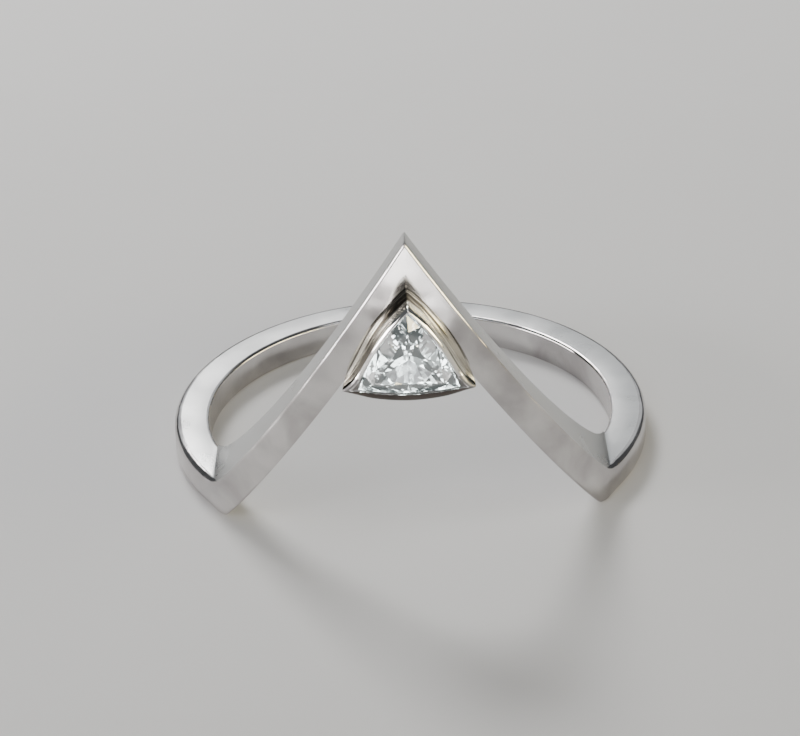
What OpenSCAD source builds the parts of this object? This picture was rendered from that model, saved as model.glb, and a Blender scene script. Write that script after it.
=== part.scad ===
// Chevron finger ring with one bezel-set trillion diamond.
// It lies on its side: Z runs along the finger hole, the shank's lower side is at Z = 0,
// and the chevron stands up at the front, towards -Y.

/* [Finger hole and shank] */
// Inside diameter of the ring
finger_d = 16.5; // [16:0.1:17.2]
// Thickness of the shank, from the finger outwards
shank_t = 1.45; // [1.3:0.05:1.7]
// Width of the shank along the finger
shank_w = 1.3; // [1.1:0.1:1.6]
// Radius of the shank's rounded outer edges
edge_r = 0.2; // [0.1:0.05:0.3]

/* [Chevron] */
// Height of the chevron's apex above the shank's lower side
apex_h = 13.55; // [13:0.05:13.8]
// Half of the angle between the arms' upper edges
upper_half_angle = 32.5; // [31.5:0.1:33]
// Half of the angle between the arms' lower edges
lower_half_angle = 33.35; // [32.8:0.05:33.8]
// Height of the front face at the apex, from its upper to its lower edge
arm_h = 2.2; // [1.9:0.05:2.5]
// Thickness of the chevron at its apex, from the finger outwards
apex_t = 1.15; // [1:0.05:1.3]
// Relief inside the chevron, so that the finger bears on the shank
arm_relief = 0.05; // [0.02:0.01:0.1]

/* [Collet] */
// Distance from the chevron's apex down to the middle of the collet
collet_drop = 4.42; // [4.3:0.01:4.5]
// How far the middle of the rim stands in front of the chevron's face
collet_out = 1.33; // [1.2:0.01:1.5]
// How far the collet's face leans forward over its lower edge
collet_lean = 5; // [0:0.5:8]
// Height of the rim's upper corner above its middle
rim_top = 2.48; // [2.44:0.01:2.54]
// Half of the distance between the rim's lower corners
rim_half = 2.52; // [2.48:0.01:2.62]
// Depth of the rim's lower corners below its middle
rim_low = 1.18; // [1.15:0.01:1.24]
// Bow of the rim's two upper sides
side_bow = 0.16; // [0.14:0.01:0.22]
// Bow of the rim's lower side
low_bow = 0.53; // [0.5:0.01:0.6]
// How much wider each upper side is at the chevron than at the rim
wall_spread = 0.08; // [0:0.01:0.12]
// How far the rim is turned over the stone
lip_over = 0.05; // [0.03:0.01:0.06]

/* [Diamond] */
// Length of a side, from corner to corner
stone_side = 3.95; // [3.88:0.01:3.97]
// Bow of each side
stone_bow = 0.23; // [0.2:0.01:0.24]
// Thickness of the girdle
girdle_h = 0.08; // [0.07:0.01:0.1]
// Height of the table above the girdle
crown_h = 0.37; // [0.34:0.01:0.4]
// Depth of the girdle's upper edge below the rim
girdle_drop = 0.17; // [0.15:0.01:0.22]
// Clearance between the stone and its seat
stone_gap = 0.02; // [0.01:0.005:0.03]

/* [Hidden] */
$fn = 96;
// Overshoot of a cutting shape past the surface that it cuts
past = 1;
finger_r = finger_d / 2;
shank_r = finger_r + shank_t;

// Front view of the chevron: the mitres where its arms meet the shank, and its feet
corner_x = (apex_h - shank_w) * tan(upper_half_angle);
inner_apex_h = apex_h - arm_h;
foot_x = inner_apex_h * tan(lower_half_angle);
// The front face is flatter than the shank: it runs from the apex to the mitres, where it stands
// this far in front of the shank's outside
mitre_step = 0.03;
face_y = finger_r + apex_t;
face_rise = face_y - sqrt(pow(shank_r + mitre_step, 2) - corner_x * corner_x);
face_r = (corner_x * corner_x + face_rise * face_rise) / (2 * face_rise);

// Radius of an arc from its chord and its bow
function arc_r(chord, bow) = (chord * chord / 4 + bow * bow) / (2 * bow);
// Centre of the arc from point a to point b that bows to the right of that way by bow
function arc_centre(a, b, bow) =
    let (d = b - a, len = norm(d), inward = [-d[1], d[0]] / len)
    (a + b) / 2 + inward * (arc_r(len, bow) - bow);

// Collet, in its own frame: Z out of the rim, Y up, and the rim's plane at 0
collet_z = apex_h - collet_drop;
collet_back = 3.2;
rim_peak = [0, rim_top];
rim_left = [-rim_half, -rim_low];
rim_right = [rim_half, -rim_low];
side_r = arc_r(norm(rim_peak - rim_right), side_bow);
side_centre = arc_centre(rim_right, rim_peak, side_bow);
low_r = arc_r(2 * rim_half, low_bow);
low_centre = arc_centre(rim_left, rim_right, low_bow);
// The rim's outer edge is broken by a bevel of this height, and narrows by this much
bevel_h = 0.08;
bevel_in = 0.06;
// The rim's inner edge slopes down to the stone from this far outside the stone's own outline
inner_slope = 0.08;
// The lip reaches furthest over the stone at this height above the girdle
lip_rise = 0.08;
lip_h = girdle_drop - lip_rise;

// Diamond, in the collet's frame
bow_r = arc_r(stone_side, stone_bow);
side_reach = stone_side / (2 * sqrt(3)) + stone_bow;
corner_reach = stone_side / sqrt(3);
bow_offset = bow_r - side_reach;
girdle_top = -girdle_drop;
girdle_low = girdle_top - girdle_h;
// The seat slopes in below the girdle to the light hole, which is this much smaller all round
light_hole_in = 0.75;
seat_slope = 44;
seat_low = girdle_low - stone_gap - (light_hole_in + stone_gap) * tan(seat_slope);
// Facets, three times round: how far the facet is turned away from facing the middle of a side,
// its slope from the girdle's plane, and how deep it bites into the girdle's edge
TURN = 0;
SLOPE = 1;
BITE = 2;
crown_facets = [
    [0, 30, -0.01],
    [5, 36, 0.02],
    [11, 38, 0.03],
    [28, 30, 0.02],
    [46, 30, 0.01],
    [60, 27, -0.01],
];
pavilion_facets = [
    [0, 36, 0],
    [5, 38, 0.01],
    [10, 41, 0.03],
    [18, 42, 0.03],
    [38, 34, 0.02],
    [50, 30, 0.01],
    [60, 28, 0],
];
// Turned this far from the middle of a side, a facet faces a corner
corner_turn = 60;
// Turned further than this, a facet meets the girdle at the corner
bow_turn = asin(stone_side / (2 * bow_r));
// How far the girdle reaches in the direction of a facet that is turned by this angle
function girdle_reach(turn) =
    turn <= bow_turn
        ? side_reach + bow_offset * (1 - cos(turn))
        : corner_reach * cos(corner_turn - turn);
// How far out a facet meets the girdle's plane
function facet_reach(facet) = girdle_reach(facet[TURN]) - facet[BITE] / tan(facet[SLOPE]);

module shank_section() {
    translate([finger_r, 0])
        square([shank_t - edge_r, shank_w]);
    translate([finger_r, edge_r])
        square([shank_t, shank_w - 2 * edge_r]);
    for (z = [edge_r, shank_w - edge_r])
        translate([shank_r - edge_r, z])
            circle(edge_r);
}

// The hoop behind the mitres
module shank() {
    difference() {
        rotate_extrude()
            shank_section();
        translate([-corner_x, -shank_r - past, -past])
            cube([2 * corner_x, shank_r + past, shank_w + 2 * past]);
    }
}

// The two arms, a band of straight front view wrapped on the front face
module chevron() {
    intersection() {
        rotate([90, 0, 0])
            linear_extrude(shank_r + past)
                polygon([
                    [corner_x, 0], [corner_x, shank_w], [0, apex_h], [-corner_x, shank_w],
                    [-corner_x, 0], [-foot_x, 0], [0, inner_apex_h], [foot_x, 0]
                ]);
        translate([0, face_r - face_y, -past])
            cylinder(r = face_r, h = apex_h + 2 * past);
    }
}

// From the collet's frame to the ring's
module in_collet() {
    translate([0, -face_y - collet_out, collet_z])
        rotate([90 + collet_lean, 0, 0])
            children();
}

// Stretch of the collet's outside from z = low to z = high: its upper sides are grown by low_side and
// high_side there, and its lower side by low_base and high_base
module collet_stretch(low, high, low_side, high_side, low_base, high_base) {
    intersection() {
        intersection_for (side = [-1, 1])
            translate([side * side_centre[0], side_centre[1], low])
                cylinder(r1 = side_r + low_side, r2 = side_r + high_side, h = high - low);
        translate([low_centre[0], low_centre[1], low])
            cylinder(r1 = low_r + low_base, r2 = low_r + high_base, h = high - low);
    }
}

module collet_outside() {
    spread_low = wall_spread * (collet_back - bevel_h) / (collet_out + apex_t);
    collet_stretch(-collet_back, -bevel_h, spread_low, 0, 0, 0);
    collet_stretch(-bevel_h, 0, 0, -bevel_in, 0, -bevel_in);
}

// Stretch with the stone's own bowed outline, grown by low_grow at z = low and by high_grow at z = high
module stone_stretch(low, high, low_grow, high_grow) {
    intersection_for (turn = [0:120:240])
        rotate(turn)
            translate([0, bow_offset, low])
                cylinder(r1 = bow_r + low_grow, r2 = bow_r + high_grow, h = high - low);
}

// The hollow of the collet, from the open rim down to the light hole
module collet_hollow() {
    girdle_space_low = girdle_low - stone_gap;
    girdle_space_high = girdle_top + stone_gap;
    rim_slope = (inner_slope + lip_over) / lip_h;
    stone_stretch(-lip_h, past, -lip_over, inner_slope + past * rim_slope);
    stone_stretch(girdle_space_high, -lip_h, stone_gap, -lip_over);
    stone_stretch(girdle_space_low, girdle_space_high, stone_gap, stone_gap);
    stone_stretch(seat_low, girdle_space_low, -light_hole_in, stone_gap);
    stone_stretch(-collet_back - past, seat_low, -light_hole_in, -light_hole_in);
}

module band() {
    color("gainsboro") {
        shank();
        difference() {
            union() {
                chevron();
                in_collet() collet_outside();
            }
            translate([0, 0, -past])
                cylinder(r = finger_r + arm_relief, h = apex_h + 2 * past);
            in_collet() collet_hollow();
        }
    }
}

// Everything above a facet's plane, which meets the girdle's plane at reach and falls outwards at slope
module above_facet(reach, slope) {
    size = 4 * corner_reach;
    translate([0, -reach, 0])
        rotate([slope, 0, 0])
            translate([-size / 2, -size / 2, 0])
                cube([size, size, size]);
}

// A facet that faces neither a side nor a corner squarely is cut on both sides of that line
module facet_cuts(facets) {
    for (third = [0:120:240])
        for (facet = facets)
            for (way = facet[TURN] % corner_turn == 0 ? [1] : [-1, 1])
                rotate(third + way * facet[TURN])
                    above_facet(facet_reach(facet), facet[SLOPE]);
}

module diamond() {
    color("azure")
        in_collet()
            difference() {
                stone_stretch(girdle_low - 2 * side_reach, girdle_top + crown_h, 0, 0);
                translate([0, 0, girdle_top])
                    facet_cuts(crown_facets);
                translate([0, 0, girdle_low])
                    mirror([0, 0, 1])
                        facet_cuts(pavilion_facets);
            }
}

band();
diamond();
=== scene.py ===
"""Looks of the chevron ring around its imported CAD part.
The ring's sizes are in millimetres until make_object scales them. Camera, floor, lights and the relief of
materials are in metres, and the scale of a pattern is in patches a metre."""

import math

import bpy
from mathutils import Matrix, Vector


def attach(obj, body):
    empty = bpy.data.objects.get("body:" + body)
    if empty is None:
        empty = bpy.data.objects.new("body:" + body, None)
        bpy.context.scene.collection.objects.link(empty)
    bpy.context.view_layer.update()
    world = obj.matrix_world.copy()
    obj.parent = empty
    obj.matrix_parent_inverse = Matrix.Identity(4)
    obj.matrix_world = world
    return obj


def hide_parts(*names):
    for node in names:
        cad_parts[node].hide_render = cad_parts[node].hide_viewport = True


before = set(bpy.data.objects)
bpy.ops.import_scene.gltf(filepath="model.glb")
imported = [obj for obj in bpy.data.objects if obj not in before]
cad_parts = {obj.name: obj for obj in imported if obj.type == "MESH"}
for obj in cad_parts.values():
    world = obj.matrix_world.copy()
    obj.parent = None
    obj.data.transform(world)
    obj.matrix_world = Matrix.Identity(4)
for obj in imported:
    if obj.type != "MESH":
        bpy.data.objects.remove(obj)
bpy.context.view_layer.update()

MM = 0.001

# Sizes of the ring, as in the CAD part
FINGER_R = 8.25
SHANK_T = 1.45
SHANK_W = 1.3
APEX_H = 13.55
UPPER_HALF_ANGLE = math.radians(32.5)
LOWER_HALF_ANGLE = math.radians(33.35)
ARM_H = 2.2
APEX_T = 1.15
ARM_RELIEF = 0.05
MITRE_STEP = 0.03
SHANK_R = FINGER_R + SHANK_T
FACE_Y = FINGER_R + APEX_T
ARM_INNER_R = FINGER_R + ARM_RELIEF
UPPER_TAN = math.tan(UPPER_HALF_ANGLE)
LOWER_TAN = math.tan(LOWER_HALF_ANGLE)
CORNER_X = (APEX_H - SHANK_W) * UPPER_TAN
FOOT_X = (APEX_H - ARM_H) * LOWER_TAN
FACE_RISE = FACE_Y - math.sqrt((SHANK_R + MITRE_STEP) ** 2 - CORNER_X**2)
FACE_R = (CORNER_X**2 + FACE_RISE**2) / (2 * FACE_RISE)

# Radii of the edges, and how softly the mitres, the feet and the ridge at the apex turn
ARM_EDGE = 0.1
ARM_INNER_EDGE = 0.06
SHANK_EDGE = 0.28
SHANK_INNER_EDGE = 0.14
MITRE_SOFT = 0.14
FOOT_SOFT = 0.08
RIDGE_SOFT = 0.012
# Distances from a mitre over which the arm's edges turn into the shank's, on both sides of it, the arm's
# inner side comes in to the shank's, and the step fades into the shank
EDGE_FADE = 0.9
RELIEF_FADE = 0.5
STEP_FADE = 0.6
# Faces across a rounded edge, and sections along each arm and round the shank
EDGE_STEPS = 6
ARM_SECTIONS = 110
SHANK_SECTIONS = 220
# By this share an arm's sections are closer together at its ends, and further apart half way
CROWDING = 0.48
# Share of a full circle that the shank goes round, which is less on its inside and more on its outside
SHANK_SHARE = 0.68

# Collet, in its own frame: Z out of the rim, Y up, and the rim's crest at 0
COLLET_DROP = 4.42
COLLET_OUT = 1.33
COLLET_LEAN = math.radians(5)
# Its outlines at the base, at the rim's outer edge and at the rim's crest. Each has its upper corner, its
# lower right corner, how far its upper sides stand outside their chords, from the lower corner up, how far
# its lower side does, and how much of a side the rounding of the upper corner and of a lower one takes
RIM_LOW = [(0, 0), (0.08, 0.13), (0.25, 0.4), (0.5, 0.53), (0.75, 0.4), (0.92, 0.13), (1, 0)]
BASE = {
    "top": (0.02, 2.44),
    "corner": (2.34, -1.07),
    "side": [(0, 0), (0.1, 0.1), (0.25, 0.2), (0.5, 0.27), (0.75, 0.2), (0.9, 0.1), (1, 0)],
    "low": RIM_LOW,
    "top_cut": 0.06,
    "corner_cut": 0.06,
}
RIM = {
    "top": (0.05, 2.47),
    "corner": (2.58, -1.17),
    "side": [
        (0, 0), (0.05, -0.06), (0.12, -0.12), (0.22, -0.11), (0.36, -0.03),
        (0.5, 0.05), (0.66, 0.1), (0.8, 0.1), (0.92, 0.05), (1, 0),
    ],
    "low": RIM_LOW,
    "top_cut": 0.08,
    "corner_cut": 0.12,
}
CREST = {
    "top": (0.05, 2.3),
    "corner": (2.26, -1.11),
    "side": [(0, 0), (0.06, -0.05), (0.14, -0.07), (0.3, 0), (0.5, 0.09), (0.7, 0.12), (0.88, 0.07), (1, 0)],
    "low": [(0, 0), (0.08, 0.05), (0.25, 0.19), (0.5, 0.27), (0.75, 0.19), (0.92, 0.05), (1, 0)],
    "top_cut": 0.05,
    "corner_cut": 0.05,
}
# Depths below the crest: the collet's back, where its walls start to turn out to the rim, where they would
# reach it, and the rim's outer edge
COLLET_BACK = 3.3
WALL_TURN = 1.6
WALL_TOP = 0.13
RIM_H = 0.12
WALL_STEPS = 9
# The rim's slope is a curve of this power, with this share of rounding at its ends
RIM_POWER = 1.4
RIM_ROUNDING = 0.35
RIM_STEPS = 8
# The collet's front end lies in what the hollow takes away: its depth, and how far it is inside the stone's
# outline
END_DEPTH = 0.05
END_IN = 0.3
# Faces along a side of an outline and round a corner, and those beside a lower corner that take its painted
# shade too
SIDE_STEPS = 40
CORNER_STEPS = 8
SHADED_CORNER_STEPS = 6

# Stone, its place under the lip and its light hole, as in the CAD part
STONE_SIDE = 3.95
STONE_BOW = 0.23
GIRDLE_H = 0.08
GIRDLE_DROP = 0.17
STONE_GAP = 0.02
LIP_OVER = 0.05
LIP_RISE = 0.08
LIGHT_HOLE_IN = 0.75
BOW_R = (STONE_SIDE**2 / 4 + STONE_BOW**2) / (2 * STONE_BOW)
BOW_OFFSET = BOW_R - STONE_SIDE / (2 * math.sqrt(3)) - STONE_BOW
# How much of a side the rounding of its corners takes
STONE_CUT = 0.03
# Depths below the crest: the hollow's back, the seat's lower edge, and where the slope inside the rim ends
HOLLOW_BACK = 4.6
SEAT_LOW = 1.014
SLOPE_TOP = 0.02
# How far the slope goes out from the lip to the crest, and how far out and up the mouth of the hollow is
SLOPE_SHARE = 0.86
MOUTH_SHARE = 3
MOUTH_H = 0.2

# The collet's back ends in the metal, this far outside the arms' inner side
COLLET_INSET = 0.03
FINGER_CUT_STEPS = 256
# How far the finger's cut goes past the ring at both ends
PAST = 1

# Edges that turn by more than this stay sharp
SHARP_ANGLE = math.radians(27)

# Surfaces of the metal: walls and edges, the hoop's flat sides, the arms' flat sides (a darker copy of the
# hoop's metal, as painted shade), the collet's outside (file marks, with painted dark and pale reflections),
# its rim (a smoother and lighter copy, with a painted highlight), the rim's lower edge (painted shade), the
# rim's lower corners and inner slope (painted shade), the stone's seat
POLISHED, SATIN, ARM_FLAT_SHADE, COLLET, RIM_HIGHLIGHT, RIM_SHADE, CORNER_AND_SLOPE_SHADE, SEAT = range(8)


def curve(table, place):
    """Value at place of the smooth curve through a table of (place, value) pairs."""
    last = len(table) - 1
    i = min(max(k for k in range(last) if table[k][0] <= place), last - 1)
    (start, start_value), (end, end_value) = table[i], table[i + 1]

    def slope(k):
        a, b = table[max(k - 1, 0)], table[min(k + 1, last)]
        return (b[1] - a[1]) / (b[0] - a[0])

    width = end - start
    u = (place - start) / width
    return (
        start_value * (1 + 2 * u) * (1 - u) ** 2
        + slope(i) * width * u * (1 - u) ** 2
        + end_value * u**2 * (3 - 2 * u)
        + slope(i + 1) * width * u**2 * (u - 1)
    )


def mix(a, b, share):
    return a + (b - a) * share


def smooth(share):
    share = min(max(share, 0), 1)
    return share * share * (3 - 2 * share)


def positive(value, soft):
    """Value where it is over zero and zero below, with a soft turn between."""
    return (value + math.sqrt(value * value + soft * soft)) / 2


def add_to_scene(name, data):
    obj = bpy.data.objects.new(name, data)
    bpy.context.scene.collection.objects.link(obj)
    return obj


def make_object(name, verts, faces, slots, materials):
    """A mesh from points in millimetres. slots gives each face's place in materials."""
    mesh = bpy.data.meshes.new(name)
    mesh.from_pydata([[c * MM for c in v] for v in verts], [], faces)
    for material in materials:
        mesh.materials.append(material)
    mesh.polygons.foreach_set("material_index", slots)
    mesh.update()
    return add_to_scene(name, mesh)


def make_solid(name, rings, slots, materials):
    """A closed solid through rings of points, with flat ends. slots gives the place in materials of each
    face between the rings, and an end has that of a face beside it."""
    n = len(rings[0])
    faces = [
        (i * n + k, i * n + (k + 1) % n, (i + 1) * n + (k + 1) % n, (i + 1) * n + k)
        for i in range(len(rings) - 1)
        for k in range(n)
    ]
    faces.append(tuple(reversed(range(n))))
    faces.append(tuple(range((len(rings) - 1) * n, len(rings) * n)))
    verts = [point for ring in rings for point in ring]
    return make_object(name, verts, faces, slots + [slots[0], slots[-1]], materials)


# Hoop and chevron

def section_offsets(shank_share, stretch):
    """The rounded section, once round from its lower outer corner. shank_share says how far its edges are
    the shank's and not an arm's, and stretch lengthens them upwards, as an arm's slope does. Each point is
    (from the inner wall?, way in from the wall, from the top?, way in from the top or the bottom)."""
    outer = mix(ARM_EDGE, SHANK_EDGE, shank_share)
    inner = mix(ARM_INNER_EDGE, SHANK_INNER_EDGE, shank_share)
    points = []
    for is_inner, is_top, r, starts_flat in (
        (False, False, outer, True),
        (False, True, outer, False),
        (True, True, inner, True),
        (True, False, inner, False),
    ):
        for k in range(EDGE_STEPS + 1):
            angle = math.radians(90 * k / EDGE_STEPS)
            insets = (r * (1 - math.sin(angle)), r * (1 - math.cos(angle)))
            from_wall, from_flat = insets if starts_flat else reversed(insets)
            points.append((is_inner, from_wall, is_top, from_flat * stretch))
    return points


def arm_sections():
    """Sections from the left mitre over the apex to the right one, each a list of points."""
    sections = []
    for i in range(-ARM_SECTIONS, ARM_SECTIONS + 1):
        u = i / ARM_SECTIONS
        x = CORNER_X * (u - CROWDING * math.sin(2 * math.pi * u) / (2 * math.pi))
        from_apex = math.hypot(x, RIDGE_SOFT)
        from_mitre = CORNER_X - abs(x)
        z_top = SHANK_W + positive(CORNER_X - from_apex, MITRE_SOFT) / UPPER_TAN
        z_low = positive(FOOT_X - from_apex, FOOT_SOFT) / LOWER_TAN
        y_out = FACE_R - FACE_Y - math.sqrt(FACE_R**2 - x * x)
        inner_r = mix(ARM_INNER_R, FINGER_R, smooth(1 - from_mitre / RELIEF_FADE))
        y_in = -math.sqrt(inner_r**2 - x * x)
        fade = smooth(1 - from_mitre / EDGE_FADE)
        stretch = mix(1 / math.sin(UPPER_HALF_ANGLE), 1, fade)
        points = []
        for is_inner, from_wall, is_top, from_flat in section_offsets(fade / 2, stretch):
            y = y_in - from_wall if is_inner else y_out + from_wall
            z = z_top - from_flat if is_top else z_low + from_flat
            points.append((x, y, z))
        sections.append(points)
    return sections


def shank_sections():
    """Sections from the right mitre round the back to the left one, without the two at the mitres."""
    sections = []
    for i in range(1, SHANK_SECTIONS):
        along = i / SHANK_SECTIONS
        from_mitre = min(along, 1 - along) * 2 * math.pi * SHANK_R * SHANK_SHARE
        z_top = SHANK_W + positive(-from_mitre, MITRE_SOFT) / UPPER_TAN
        z_low = positive(-from_mitre - (CORNER_X - FOOT_X), FOOT_SOFT) / LOWER_TAN
        outer_r = mix(SHANK_R + MITRE_STEP, SHANK_R, smooth(from_mitre / STEP_FADE))
        shank_share = (1 + smooth(from_mitre / EDGE_FADE)) / 2
        points = []
        for is_inner, from_wall, is_top, from_flat in section_offsets(shank_share, 1):
            r = FINGER_R + from_wall if is_inner else outer_r - from_wall
            start = math.asin(CORNER_X / r)
            angle = start + (2 * math.pi - 2 * start) * along
            z = z_top - from_flat if is_top else z_low + from_flat
            points.append((r * math.sin(angle), -r * math.cos(angle), z))
        sections.append(points)
    return sections


def make_loop(materials):
    """Both arms and the shank, as one solid through all the sections."""
    arms = arm_sections()
    sections = arms + shank_sections()
    n_sections, n_points = len(sections), len(sections[0])
    # the faces between two of a section's four rounded edges on its top and at its bottom
    top_flat, low_flat = n_points // 2 - 1, n_points - 1
    faces, slots = [], []
    for i in range(n_sections):
        here, ahead = i * n_points, (i + 1) % n_sections * n_points
        # The arms' flat sides take the darker copy of the satin metal, a painted shade; the shank's take the
        # satin metal
        flat = ARM_FLAT_SHADE if i < len(arms) - 1 else SATIN
        for k in range(n_points):
            after = (k + 1) % n_points
            faces.append((here + k, ahead + k, ahead + after, here + after))
            slots.append(flat if k in (top_flat, low_flat) else POLISHED)
    return make_object("loop", [p for s in sections for p in s], faces, slots, materials)


# Collet

def round_corner(before, corner, after):
    """Points of the curve that rounds a corner, between the last point before it and the first after it."""
    points = []
    for k in range(1, CORNER_STEPS):
        u = k / CORNER_STEPS
        points.append(before * (1 - u) ** 2 + corner * 2 * u * (1 - u) + after * u * u)
    return points


def side_run(start, end, bow, turned, cut_start, cut_end):
    """Points of one bowed side, without the stretch that the rounding of its corners takes."""
    way = end - start
    length = way.length
    outward = Vector((way.y, -way.x)) / length
    points = []
    for k in range(SIDE_STEPS + 1):
        along = cut_start / length + (1 - (cut_start + cut_end) / length) * k / SIDE_STEPS
        points.append(start + way * along + outward * curve(bow, 1 - along if turned else along))
    return points


def outer_outline(sizes):
    """Rounded three-sided outline, anticlockwise from the lower left corner."""
    top, right = Vector(sizes["top"]), Vector(sizes["corner"])
    left = Vector((-right.x, right.y))
    top_cut, corner_cut = sizes["top_cut"], sizes["corner_cut"]
    sides = (
        side_run(left, right, sizes["low"], False, corner_cut, corner_cut),
        side_run(right, top, sizes["side"], False, corner_cut, top_cut),
        side_run(top, left, sizes["side"], True, top_cut, corner_cut),
    )
    points = []
    for side, corner, after in zip(sides, (right, top, left), (sides[1], sides[2], sides[0])):
        points += side + round_corner(side[-1], corner, after[0])
    return points


def stone_outline(grow):
    """The stone's own bowed outline, grown by grow, with as many points as outer_outline gives."""
    r = BOW_R + grow
    corner_reach = (-BOW_OFFSET + math.sqrt(4 * r * r - 3 * BOW_OFFSET**2)) / 2
    half = math.asin(corner_reach * math.cos(math.radians(30)) / r)
    run = half - STONE_CUT / r

    def on_bow(angle):
        return Vector((r * math.sin(angle), BOW_OFFSET - r * math.cos(angle)))

    def turned(point, third):
        return Matrix.Rotation(math.radians(120 * third), 2) @ point

    side = [on_bow(mix(-run, run, k / SIDE_STEPS)) for k in range(SIDE_STEPS + 1)]
    side += round_corner(side[-1], on_bow(half), turned(side[0], 1))
    return [turned(point, third) for third in range(3) for point in side]


def blend_outlines(a, b, share):
    return [mix(p, q, share) for p, q in zip(a, b)]


def loft(name, rings, slots, materials):
    """A closed solid through rings of (height, outline) in the collet's frame, from the lowest up. slots has
    a list for each stretch between two rings, with each face's place in materials."""
    to_ring = Matrix.Translation((0, -FACE_Y - COLLET_OUT, APEX_H - COLLET_DROP))
    to_ring @= Matrix.Rotation(math.radians(90) + COLLET_LEAN, 4, "X")
    placed = [[to_ring @ Vector((p.x, p.y, height)) for p in outline] for height, outline in rings]
    return make_solid(name, placed, [s for stretch in slots for s in stretch], materials)


def make_collet(materials):
    """The collet before it is hollowed, from its back to the crest of its dressed rim."""
    base, rim, crest = (outer_outline(sizes) for sizes in (BASE, RIM, CREST))
    rings = [(-COLLET_BACK, base)]
    for k in range(WALL_STEPS):
        share = k / WALL_STEPS
        rings.append((mix(-WALL_TURN, -WALL_TOP, share), blend_outlines(base, rim, smooth(share))))
    wall_stretches = len(rings)
    for k in range(RIM_STEPS + 1):
        share = mix(k / RIM_STEPS, smooth(k / RIM_STEPS), RIM_ROUNDING)
        rings.append((-RIM_H * (1 - share) ** RIM_POWER, blend_outlines(rim, crest, share**RIM_POWER)))
    rings.append((-END_DEPTH, stone_outline(-END_IN)))

    faces = len(rim)
    # The rim's lower corners, and the faces beside them, take a dark grey painted shade
    corner = [CORNER_AND_SLOPE_SHADE] * (CORNER_STEPS + SHADED_CORNER_STEPS)
    # The rim's upper sides, and the collet's front end, take the lighter copy with a painted highlight
    upper = [RIM_HIGHLIGHT] * (faces - SIDE_STEPS - 2 * len(corner))
    # The rim's lower side takes a painted shade, near black
    dressed = [RIM_SHADE] * SIDE_STEPS + corner + upper + corner
    # The walls take the file marks with painted dark and pale reflections
    slots = [[COLLET] * faces] * wall_stretches + [dressed] * RIM_STEPS + [[RIM_HIGHLIGHT] * faces]
    return loft("collet", rings, slots, materials)


def make_hollow(materials):
    """What is cut from the collet: the light hole, the seat, the space for the girdle, and the way in."""
    crest = outer_outline(CREST)
    lip = stone_outline(-LIP_OVER)
    rings = [
        (-HOLLOW_BACK, stone_outline(-LIGHT_HOLE_IN)),
        (-SEAT_LOW, stone_outline(-LIGHT_HOLE_IN)),
        (-GIRDLE_DROP - GIRDLE_H - STONE_GAP, stone_outline(STONE_GAP)),
        (-GIRDLE_DROP + STONE_GAP, stone_outline(STONE_GAP)),
        (-GIRDLE_DROP + LIP_RISE, lip),
        (-SLOPE_TOP, blend_outlines(lip, crest, SLOPE_SHARE)),
        (MOUTH_H, blend_outlines(lip, crest, MOUTH_SHARE)),
    ]
    # The slope inside the rim takes a painted shade, and the mouth above it the lighter copy with a painted
    # highlight
    slots = [[slot] * len(lip) for slot in (POLISHED, SEAT, SEAT, SEAT, CORNER_AND_SLOPE_SHADE, RIM_HIGHLIGHT)]
    return loft("hollow", rings, slots, materials)


def make_finger_cut(materials):
    """What the finger hole takes from the back of the collet."""
    r = ARM_INNER_R + COLLET_INSET
    turns = [2 * math.pi * k / FINGER_CUT_STEPS for k in range(FINGER_CUT_STEPS)]
    rings = [[(r * math.sin(a), -r * math.cos(a), z) for a in turns] for z in (-PAST, APEX_H + PAST)]
    return make_solid("finger_cut", rings, [COLLET] * FINGER_CUT_STEPS, materials)


# Band, put together

def bake(obj):
    """Makes the object's modifiers part of its mesh."""
    graph = bpy.context.evaluated_depsgraph_get()
    mesh = bpy.data.meshes.new_from_object(obj.evaluated_get(graph))
    obj.modifiers.clear()
    obj.data = mesh


def combine(obj, other, operation):
    """Boolean of obj with other, which is used up."""
    modifier = obj.modifiers.new("cut", "BOOLEAN")
    modifier.operation = operation
    modifier.solver = "EXACT"
    modifier.object = other
    bake(obj)
    bpy.data.objects.remove(other)


def make_band(materials):
    band = make_loop(materials)
    collet = make_collet(materials)
    combine(collet, make_finger_cut(materials), "DIFFERENCE")
    combine(band, collet, "UNION")
    combine(band, make_hollow(materials), "DIFFERENCE")
    band.name = "white_gold_band"
    mesh = band.data
    mesh.polygons.foreach_set("use_smooth", [True] * len(mesh.polygons))
    mesh.set_sharp_from_angle(angle=SHARP_ANGLE)
    modifier = band.modifiers.new("normals", "WEIGHTED_NORMAL")
    modifier.mode = "FACE_AREA"
    modifier.keep_sharp = True
    bake(band)
    band.data.name = band.name
    return band


# Materials

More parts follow.
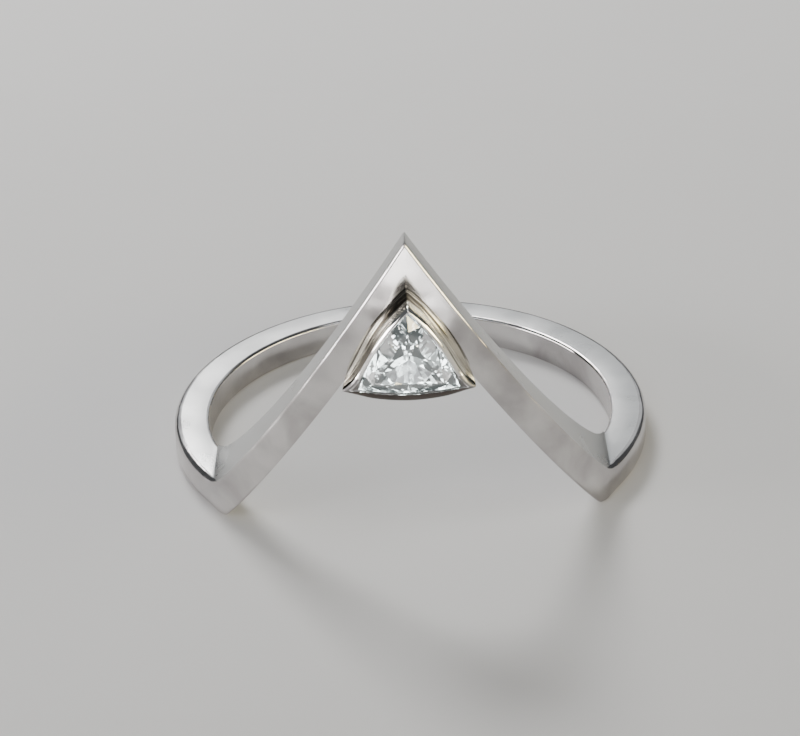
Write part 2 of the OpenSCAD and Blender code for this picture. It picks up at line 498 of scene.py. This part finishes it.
class Nodes:
    """Short names for building a material's nodes. An input is a value or another node's output."""

    def __init__(self, name):
        self.material = bpy.data.materials.new(name)
        self.material.use_nodes = True
        self.tree = self.material.node_tree
        self.place = self.add("ShaderNodeTexCoord", {}).outputs["Object"]

    def feed(self, node, inputs):
        for socket, value in inputs.items():
            if isinstance(value, bpy.types.NodeSocket):
                self.tree.links.new(value, node.inputs[socket])
            else:
                node.inputs[socket].default_value = value

    def add(self, kind, inputs):
        node = self.tree.nodes.new(kind)
        self.feed(node, inputs)
        return node

    def shade(self, inputs):
        """Feeds the shader, and gives the finished material."""
        self.feed(self.tree.nodes["Principled BSDF"], inputs)
        return self.material

    def noise(self, scale, detail=4, stretch=(1, 1, 1), distortion=0):
        place = self.add("ShaderNodeMapping", {"Vector": self.place, "Scale": stretch}).outputs["Vector"]
        inputs = {"Vector": place, "Scale": scale, "Detail": detail, "Distortion": distortion}
        return self.add("ShaderNodeTexNoise", inputs).outputs["Fac"]

    def spread(self, value, span, new_span):
        """Value moved from its place in span to the same place in new_span."""
        (low, high), (new_low, new_high) = span, new_span
        inputs = {"Value": value, "From Min": low, "From Max": high, "To Min": new_low, "To Max": new_high}
        return self.add("ShaderNodeMapRange", inputs).outputs["Result"]

    def calculate(self, operation, a, b):
        node = self.add("ShaderNodeMath", {0: a, 1: b})
        node.operation = operation
        return node.outputs["Value"]

    def colours(self, share, low, high):
        """Colour between low and high. The mixer's colour sockets have numbers of their own."""
        factor, first, second, result = 0, 6, 7, 2
        node = self.add("ShaderNodeMix", {factor: share, first: (*low, 1), second: (*high, 1)})
        node.data_type = "RGBA"
        return node.outputs[result]

    def bump(self, height, depth, strength, below=None):
        inputs = {"Height": height, "Distance": depth, "Strength": strength}
        if below is not None:
            inputs["Normal"] = below
        return self.add("ShaderNodeBump", inputs).outputs["Normal"]


def metal(name, light, dark, rough, grain, waves, streaked=False):
    """White gold with cloudy gloss, broad waves and fine grain. Streaked metal has soft file marks along the
    collet's walls, and its colour runs dark and pale along them as painted reflections."""
    nodes = Nodes(name)
    cloud = nodes.noise(scale=420, detail=5, distortion=0.4)
    cloud_span = (0.35, 0.65)
    normal = nodes.bump(nodes.noise(scale=330, detail=2), depth=0.0001, strength=waves)
    if streaked:
        marks_and_reflections = nodes.noise(scale=300, detail=3, stretch=(1, 14, 1), distortion=0.3)
        normal = nodes.bump(marks_and_reflections, depth=0.00003, strength=1, below=normal)
        # The colour follows the marks from near black to cream: painted reflections
        tone = nodes.spread(marks_and_reflections, (0.45, 0.53), (0, 1))
    else:
        tone = nodes.spread(cloud, cloud_span, (0, 1))
    normal = nodes.bump(nodes.noise(scale=16000, detail=3), depth=0.000006, strength=grain, below=normal)
    return nodes.shade({
        "Metallic": 1,
        "Base Color": nodes.colours(tone, dark, light),
        "Roughness": nodes.spread(cloud, cloud_span, rough),
        "Normal": normal,
    })


def seat():
    """The seat under the stone. Its patches, some of them bright, stand in for the many reflections inside
    the stone that the renderer breaks off there."""
    nodes = Nodes("matt_seat")
    patches = nodes.add("ShaderNodeTexVoronoi", {"Vector": nodes.place, "Scale": 4350})
    chances = nodes.add("ShaderNodeSeparateColor", {"Color": patches.outputs["Color"]})
    contrast, glow = 2.5, 6
    tone = nodes.calculate("POWER", nodes.spread(chances.outputs["Red"], (0.1, 0.85), (0, 1)), contrast)
    sparks = nodes.spread(chances.outputs["Green"], (0.8, 0.82), (0, 14))
    return nodes.shade({
        "Roughness": 0.5,
        "Base Color": nodes.colours(tone, (0.02, 0.02, 0.02), (0.95, 0.985, 0.98)),
        "Emission Color": (0.9, 1.0, 0.99, 1),
        "Emission Strength": nodes.calculate("ADD", nodes.calculate("MULTIPLY", tone, glow), sparks),
    })


def diamond():
    """Clear stone, a little dull in places. Its faint glow stands in for the light that it gathers."""
    nodes = Nodes("diamond")
    return nodes.shade({
        "Transmission Weight": 1,
        "IOR": 2.417,
        "Emission Color": (0.86, 1.0, 0.99, 1),
        "Emission Strength": 0.02,
        "Base Color": nodes.colours(nodes.noise(scale=1500, detail=3), (0.985, 0.99, 1.0), (1.0, 1.0, 1.0)),
        "Roughness": nodes.spread(nodes.noise(scale=2600), (0.45, 0.8), (0.0, 0.02)),
    })


def floor_paper():
    nodes = Nodes("floor")
    return nodes.shade({
        "Roughness": 0.9,
        "Specular IOR Level": 0.1,
        "Base Color": nodes.colours(nodes.noise(scale=60), (0.68, 0.67, 0.66), (0.72, 0.71, 0.70)),
    })


def band_materials():
    """The band's materials, in the order of its surfaces."""
    return [
        metal("polished_white_gold", light=(0.66, 0.64, 0.63), dark=(0.42, 0.40, 0.395),
              rough=(0.10, 0.26), grain=0.08, waves=1.2),
        metal("satin_white_gold", light=(0.70, 0.695, 0.685), dark=(0.60, 0.595, 0.585),
              rough=(0.26, 0.36), grain=0.5, waves=0.05),
        # Darker copy of the satin metal: a painted shade on the arms' flat sides
        metal("painted_shade_satin_white_gold", light=(0.60, 0.60, 0.59), dark=(0.53, 0.53, 0.52),
              rough=(0.26, 0.36), grain=0.5, waves=0.05),
        # File marks on the collet's walls, with painted dark and pale reflections in their colour
        metal("file_marks_and_painted_reflections_white_gold", light=(0.92, 0.90, 0.77), dark=(0.11, 0.095, 0.06),
              rough=(0.06, 0.12), grain=0.06, waves=0.03, streaked=True),
        # Smoother and lighter copy: a smoother polish, and a painted highlight in its lighter colour
        metal("smooth_painted_highlight_white_gold", light=(0.80, 0.785, 0.76), dark=(0.74, 0.72, 0.70),
              rough=(0.05, 0.09), grain=0.06, waves=0.03),
        # Near-black copy: a painted shade on the rim's lower edge
        metal("painted_shade_white_gold", light=(0.13, 0.11, 0.10), dark=(0.07, 0.06, 0.055),
              rough=(0.2, 0.3), grain=0.1, waves=0.03),
        # Dark grey copy: a painted shade on the rim's lower corners and inner slope
        metal("painted_shade_grey_white_gold", light=(0.27, 0.26, 0.255), dark=(0.20, 0.195, 0.19),
              rough=(0.26, 0.36), grain=0.5, waves=0.05),
        seat(),
    ]


# Camera, floor and light

def make_camera():
    """The camera of the photograph: where it stands, and the pixel in which it sees the ring's origin."""
    distance = 0.15
    elevation = math.radians(29.65)
    roll = math.radians(-1.94)
    width, height = 800, 736
    origin_x, origin_y = 410.8, 434.6
    pixels_per_mm = 24.164
    back = Vector((0, -math.cos(elevation), math.sin(elevation)))
    level = Vector((1, 0, 0))
    upright = back.cross(level)
    right = level * math.cos(roll) + upright * math.sin(roll)
    up = upright * math.cos(roll) - level * math.sin(roll)
    focal = pixels_per_mm * distance / MM
    seen = Vector((origin_x - width / 2, height / 2 - origin_y, -focal)).normalized()
    aim = Vector((0, 0, -1)).rotation_difference(seen).to_matrix()
    turn = Matrix((right, up, back)).transposed() @ aim.transposed()
    data = bpy.data.cameras.new("camera")
    data.sensor_fit = "HORIZONTAL"
    data.sensor_width = 36
    data.lens = focal * data.sensor_width / width
    data.clip_start = 0.01
    data.clip_end = 20
    camera = add_to_scene("camera", data)
    camera.matrix_world = Matrix.Translation(back * distance) @ turn.to_4x4()
    bpy.context.scene.camera = camera


def make_floor():
    half = 1.5
    mesh = bpy.data.meshes.new("floor")
    corners = [(-half, -half, 0), (half, -half, 0), (half, half, 0), (-half, half, 0)]
    mesh.from_pydata(corners, [], [(0, 1, 2, 3)])
    mesh.materials.append(floor_paper())
    add_to_scene("floor", mesh)


def add_light(name, kind, place, target, power, colour):
    """A light at place that shines towards target. Gives its data, for what only its own kind has."""
    data = bpy.data.lights.new(name, kind)
    data.energy = power
    data.color = colour
    obj = add_to_scene(name, data)
    obj.location = place
    obj.rotation_euler = (Vector(target) - Vector(place)).to_track_quat("-Z", "Y").to_euler()
    return data


def area_light(name, place, target, size, power, colour=(1, 1, 1)):
    data = add_light(name, "AREA", place, target, power, colour)
    data.shape = "RECTANGLE"
    data.size, data.size_y = size


def pool_light(name, place, target, angle, power, colour=(1, 1, 1)):
    """A soft spot on the floor, outside the photograph's view, for the bright metal to mirror."""
    data = add_light(name, "SPOT", place, target, power, colour)
    data.spot_size = math.radians(angle)
    data.spot_blend = 1
    data.shadow_soft_size = 0.004


def make_light():
    world = bpy.data.worlds.new("studio")
    world.use_nodes = True
    background = world.node_tree.nodes["Background"]
    background.inputs["Color"].default_value = (0.9, 0.95, 1.0, 1)
    background.inputs["Strength"].default_value = 0.12
    bpy.context.scene.world = world

    foot = (0, 0, 0)
    middle = (0, 0, 0.008)
    collet = (0, 0, 0.009)
    area_light("key", place=(-0.05, 0.13, 0.14), target=foot, size=(0.07, 0.05), power=0.3)
    area_light("back_panel", place=(0, 0.42, 0.24), target=(0, 0, 0.002), size=(0.6, 0.22), power=0.35,
               colour=(0.93, 0.97, 1.0))
    area_light("front_box", place=(0, -0.24, 0.32), target=middle, size=(0.5, 0.35), power=0.15,
               colour=(0.93, 0.98, 1.0))
    area_light("left_box", place=(-0.2, -0.25, 0.28), target=middle, size=(0.16, 0.16), power=0.2,
               colour=(0.93, 0.98, 1.0))
    area_light("high_box", place=(0.14, -0.12, 0.4), target=middle, size=(0.12, 0.12), power=0.15,
               colour=(0.97, 0.98, 1.0))
    area_light("low_box", place=(0, -0.376, 0.14), target=middle, size=(0.3, 0.07), power=0.2,
               colour=(1.0, 0.97, 0.97))
    area_light("right_box", place=(0.22, -0.3, 0.14), target=middle, size=(0.08, 0.08), power=0.1,
               colour=(1.0, 0.98, 0.95))
    area_light("left_panel", place=(-0.38, -0.05, 0.05), target=collet, size=(0.3, 0.07), power=1.4,
               colour=(1.0, 0.96, 0.96))
    area_light("right_panel", place=(0.37, -0.08, 0.05), target=collet, size=(0.36, 0.06), power=1.0,
               colour=(1.0, 0.88, 0.56))
    area_light("right_wall", place=(0.234, -0.26, 0.022), target=collet, size=(0.14, 0.04), power=0.06,
               colour=(1.0, 0.96, 0.86))
    pool_light("pool", place=(-0.02, -0.05, 0.3), target=(-0.001, -0.046, 0), angle=6.8, power=55)
    pool_light("rim_pool", place=(-0.05, -0.08, 0.3), target=(-0.068, -0.058, 0), angle=8, power=22,
               colour=(1.0, 0.97, 0.97))


band = make_band(band_materials())
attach(band, "root")
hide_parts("band")

stone_material = diamond()
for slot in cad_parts["diamond"].material_slots:
    slot.material = stone_material

make_camera()
make_floor()
make_light()
